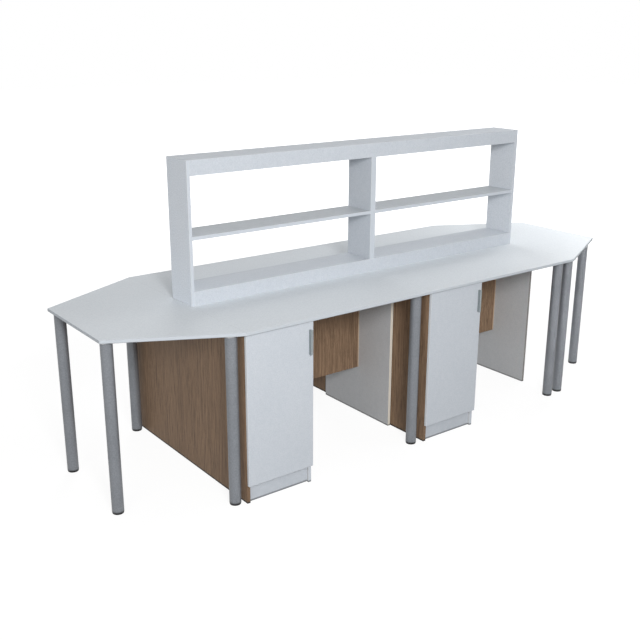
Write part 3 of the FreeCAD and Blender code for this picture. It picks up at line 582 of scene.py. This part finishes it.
def loop_edges(shape, loop):
    pairs = zip(loop, loop[1:] + loop[:1])
    return [shape.edges.get(pair) or shape.edges.new(pair) for pair in pairs]


def screw_head(radius, height):
    """Pan head with a cross recess. It stands on the ground of its own frame."""
    shape = bmesh.new()
    top = turned(shape, SCREW_PROFILE, radius, height)
    rim = cross_outline(shape, radius, CROSS_RIM, height)
    floor = cross_outline(shape, radius, CROSS_FLOOR, CROSS_FLOOR_HEIGHT * height)
    bmesh.ops.triangle_fill(shape, edges=loop_edges(shape, top) + loop_edges(shape, rim))
    join_rings(shape, rim, floor)
    shape.faces.new(floor)
    bmesh.ops.recalc_face_normals(shape, faces=shape.faces)
    return shape


def bumper_dome(radius, height):
    """Soft stick-on bumper: a low dome with a rolled foot."""
    shape = bmesh.new()
    shape.faces.new(turned(shape, DOME_PROFILE, radius, height))
    bmesh.ops.recalc_face_normals(shape, faces=shape.faces)
    return shape


def add_object(name, shape, material):
    """Puts a shape into the scene under a name of its own, and frees it."""
    mesh = bpy.data.meshes.new(name)
    shape.to_mesh(mesh)
    shape.free()
    mesh.materials.append(material)
    piece = bpy.data.objects.new(name, mesh)
    bpy.context.scene.collection.objects.link(piece)
    return piece


def set_pieces(name, body, material, master, places):
    """One piece with a copy of a small shape at each place, its top towards the given direction."""
    shape = bmesh.new()
    copy = bpy.data.meshes.new("copy")
    for number, (point, direction) in enumerate(places):
        master.to_mesh(copy)
        aim = Vector(direction).to_track_quat("Z", "Y").to_matrix().to_4x4()
        spin = Matrix.Rotation(number * SCREW_TURN, 4, "Z")
        copy.transform(Matrix.Translation(point) @ aim @ spin)
        shape.from_mesh(copy)
    bpy.data.meshes.remove(copy)
    piece = add_object(name, shape, material)
    piece.data.shade_smooth()
    piece.data.set_sharp_from_angle(angle=SHARP_ANGLE)
    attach(piece, body)


def solids_of(node):
    """The boxes of a node's separate solids, in order of place, found by walking its mesh."""
    shape = bmesh.new()
    shape.from_mesh(nodes[node].data)
    bmesh.ops.remove_doubles(shape, verts=shape.verts, dist=WELD_DISTANCE)
    left = set(shape.verts)
    boxes = []
    while left:
        reached = [left.pop()]
        group = list(reached)
        while reached:
            for edge in reached.pop().link_edges:
                for vert in edge.verts:
                    if vert in left:
                        left.remove(vert)
                        reached.append(vert)
                        group.append(vert)
        low = Vector([min(vert.co[axis] for vert in group) for axis in range(3)])
        high = Vector([max(vert.co[axis] for vert in group) for axis in range(3)])
        boxes.append((low, high))
    shape.free()
    return sorted(boxes, key=lambda box: box[0][:])


# ---------------------------------------------------------------- fittings
# Radius and height of each small part.
LEG_SCREW = (4.2 * MM, 2.4 * MM)
HINGE_SCREW = (3.6 * MM, 1.1 * MM)
ADJUSTER_SCREW = (3 * MM, 0.9 * MM)
HANDLE_SCREW = (4 * MM, 1.6 * MM)
BUMPER = (4 * MM, 1.6 * MM)
# Where the hinge and handle screws sit. Across is measured from the outer face of the panel that
# carries the door, depth from its front edge, rise from the middle of the hinge or the handle.
FLANGE_SCREW_ACROSS = 27.5 * MM
FLANGE_SCREW_RISE = 22 * MM
WING_ACROSS = 20.5 * MM
WING_SCREW_DEPTH = 37 * MM
WING_SCREW_RISE = 16 * MM
ARM_ACROSS = 35.5 * MM
ARM_SCREW_DEPTHS = (32 * MM, 52 * MM)
HANDLE_SCREW_RISE = 48 * MM
# A leg screw along X and Y from its leg's middle, a bumper from the door's free edge and its ends.
LEG_SCREW_OUT = 28 * MM
BUMPER_INSET = 9 * MM
BUMPER_FROM_END = 45 * MM
TRIM_WIDTH = 4 * MM
TRIM_STEPS = 6
TRIM_TOP_GAP = 1 * MM


def fit_leg_screws(steel):
    """Four screws up into the worktop through the corners of each leg's mounting plate."""
    downwards = (0, 0, -1)
    places = []
    for low, high in solids_of("leg_plates"):
        middle = (low + high) / 2
        under_plate = Vector((middle.x, middle.y, high.z - PLATE_THICKNESS))
        for sign_x in (-1, 1):
            for sign_y in (-1, 1):
                across = Vector((sign_x, sign_y, 0)) * LEG_SCREW_OUT
                places.append((under_plate + across, downwards))
    set_pieces("leg_plate_screws", BODY, steel, screw_head(*LEG_SCREW), places)


def fit_door(suffix, steel, soft):
    """Screws of a door's hinges and handle, and the bumpers at its free edge."""
    leaf = "leaf_" + suffix
    low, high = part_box("door_" + suffix)
    inward = 1 if suffix.startswith("front") else -1
    inner_face = high[1] if inward > 0 else low[1]
    panel_front = inner_face + inward * DOOR_GAP
    panel_side = low[0] - DOOR_REVEAL
    hinge_heights = (low[2] + HINGE_INSET, high[2] - HINGE_INSET)
    into_cupboard = (0, inward, 0)
    off_panel = (1, 0, 0)

    flange_y = inner_face + inward * FLANGE_THICKNESS
    flange = [
        (Vector((panel_side + FLANGE_SCREW_ACROSS, flange_y, z + rise)), into_cupboard)
        for z in hinge_heights for rise in (-FLANGE_SCREW_RISE, FLANGE_SCREW_RISE)]
    hinge_screw = screw_head(*HINGE_SCREW)
    set_pieces("hinge_cup_screws_" + suffix, leaf, steel, hinge_screw, flange)

    wing_y = panel_front + inward * WING_SCREW_DEPTH
    wings = [
        (Vector((panel_side + WING_ACROSS, wing_y, z + rise)), off_panel)
        for z in hinge_heights for rise in (-WING_SCREW_RISE, WING_SCREW_RISE)]
    set_pieces("hinge_plate_screws_" + suffix, BODY, steel, hinge_screw, wings)

    arms = [
        (Vector((panel_side + ARM_ACROSS, panel_front + inward * depth, z)), off_panel)
        for z in hinge_heights for depth in ARM_SCREW_DEPTHS]
    adjuster = screw_head(*ADJUSTER_SCREW)
    set_pieces("hinge_adjusters_" + suffix, BODY, steel, adjuster, arms)

    handle_low, handle_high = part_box("handle_" + suffix)
    handle_x = (handle_low[0] + handle_high[0]) / 2
    handle_z = (handle_low[2] + handle_high[2]) / 2
    grips = [
        (Vector((handle_x, inner_face, handle_z + rise)), into_cupboard)
        for rise in (-HANDLE_SCREW_RISE, HANDLE_SCREW_RISE)]
    handle_screw = screw_head(*HANDLE_SCREW)
    set_pieces("handle_screws_" + suffix, leaf, steel, handle_screw, grips)

    corners = [
        (Vector((high[0] - BUMPER_INSET, inner_face, z)), into_cupboard)
        for z in (low[2] + BUMPER_FROM_END, high[2] - BUMPER_FROM_END)]
    bumper = bumper_dome(*BUMPER)
    set_pieces("door_bumpers_" + suffix, leaf, soft, bumper, corners)


def fit_modesty_trims():
    """A pale quarter-round bead in the corner between each modesty panel and the support panel."""
    pale = moulded_plastic("trim_plastic", TRIM_BEIGE, roughness=0.45)
    angles = [math.pi / 2 * step / TRIM_STEPS for step in range(TRIM_STEPS + 1)]
    outline = [(0, 0)] + [(math.cos(angle), math.sin(angle)) for angle in angles]
    for name in nodes:
        if not name.startswith("modesty_panel"):
            continue
        low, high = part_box(name)
        outward = -1 if "front" in name else 1
        face = low[1] if outward < 0 else high[1]
        shape = bmesh.new()
        loops = []
        for z in (low[2], high[2] - TRIM_TOP_GAP):
            loops.append([
                shape.verts.new((high[0] - TRIM_WIDTH * across, face + outward * TRIM_WIDTH * out, z))
                for across, out in outline])
        join_rings(shape, *loops)
        for loop in loops:
            shape.faces.new(loop)
        bmesh.ops.recalc_face_normals(shape, faces=shape.faces)
        trim = add_object(name + "_trim", shape, pale)
        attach(trim, BODY)


def add_fittings():
    steel = brushed_metal("screw_steel", SCREW_STEEL, roughness=0.32, along="X")
    soft = moulded_plastic("bumper_rubber", BUMPER_GREY, roughness=0.35)
    fit_leg_screws(steel)
    fit_modesty_trims()
    for suffix in DOORS:
        fit_door(suffix, steel, soft)


# ---------------------------------------------------------------- floor and light
FLOOR_SIZE = 60
FLOOR_COLOUR = (0.4, 0.4, 0.4, 1)
FLOOR_SHARE = 0.62       # how much of the floor's look is plain white under the bench
FLOOR_GLOW = 1.45
FLOOR_FADE_START = 2.5
FLOOR_FADE_END = 7
WORLD_LEVEL = 0.28


def seen_rays(tree):
    """1 for rays from the camera and for those that gloss or glass carry on, otherwise 0."""
    path = tree.nodes.new("ShaderNodeLightPath")
    total = path.outputs["Is Camera Ray"]
    for ray in ("Is Glossy Ray", "Is Transmission Ray"):
        larger = tree.nodes.new("ShaderNodeMath")
        larger.operation = "MAXIMUM"
        tree.links.new(total, larger.inputs[0])
        tree.links.new(path.outputs[ray], larger.inputs[1])
        total = larger.outputs[0]
    return total


def make_floor():
    """A plain pale floor: the bench's soft shadow lies on it, and far away it is white."""
    bpy.ops.mesh.primitive_plane_add(size=FLOOR_SIZE, location=(0, 0, 0))
    floor = bpy.context.object
    floor.name = "studio_floor"
    shader = Shader("studio_floor")
    tree = shader.tree
    matte = shader.add("BsdfDiffuse", {"Color": FLOOR_COLOUR})
    white = shader.add("Emission", {"Strength": FLOOR_GLOW})
    distance = shader.add("VectorMath", {0: shader.place}, operation="LENGTH").outputs["Value"]
    share = shader.span(distance, FLOOR_FADE_START, FLOOR_FADE_END, FLOOR_SHARE, 1)
    glow = shader.times(seen_rays(tree), share)
    blend = shader.add("MixShader", {0: glow, 1: matte.outputs[0], 2: white.outputs[0]})
    output = tree.nodes["Material Output"]
    tree.links.new(blend.outputs[0], output.inputs["Surface"])
    tree.nodes.remove(shader.surface)
    floor.data.materials.append(shader.material)


def make_world():
    """White to the camera and in gloss, and a low even light on everything else."""
    world = bpy.data.worlds.new("studio")
    bpy.context.scene.world = world
    world.use_nodes = True
    tree = world.node_tree
    background = tree.nodes["Background"]
    background.inputs["Color"].default_value = (1, 1, 1, 1)
    level = tree.nodes.new("ShaderNodeMapRange")
    level.inputs["To Min"].default_value = WORLD_LEVEL
    level.inputs["To Max"].default_value = 1.0
    tree.links.new(seen_rays(tree), level.inputs["Value"])
    tree.links.new(level.outputs[0], background.inputs["Strength"])


def make_lamp(name, place, aim, size, power, mirrored=True, spread=180):
    """A round soft box. One that isn't mirrored lights surfaces without a sheen of its own."""
    data = bpy.data.lights.new(name, "AREA")
    data.shape = "DISK"
    data.size = size
    data.energy = power
    data.spread = math.radians(spread)
    lamp = bpy.data.objects.new(name, data)
    lamp.location = place
    direction = Vector(aim) - Vector(place)
    lamp.rotation_euler = direction.to_track_quat("-Z", "Y").to_euler()
    lamp.visible_camera = False
    lamp.visible_glossy = mirrored
    bpy.context.scene.collection.objects.link(lamp)


def make_light():
    make_world()
    make_lamp("key_lamp", (-3.2, -6.2, 3.7), (0, 0, 0.7), size=1.7, power=322, mirrored=False)
    make_lamp("near_lamp", (-1.3, -3.2, 3.1), (-0.6, -0.6, 0.8), size=1.5, power=9)
    make_lamp("side_lamp", (-6.0, -3.2, 2.4), (0, 0, 0.9), size=3.0, power=51)
    make_lamp("top_lamp", (1.7, -1.0, 4.0), (0.7, 0, 0.9), size=2.0, power=16)
    make_lamp("right_lamp", (2.8, 0.3, 1.9), (1.3, 0, 0.9), size=0.8, power=15)
    make_lamp("far_lamp", (0.3, -3.6, 0.8), (1.7, -0.2, 0.4), size=0.5, power=0.8, spread=25)
    make_lamp("back_lamp", (2.2, 5.5, 3.0), (0.3, 0, 0.7), size=3.0, power=150, mirrored=False)


# ---------------------------------------------------------------- making
make_camera()
dress_nodes()
add_fittings()
make_floor()
make_light()
bpy.context.scene.view_settings.view_transform = "Standard"
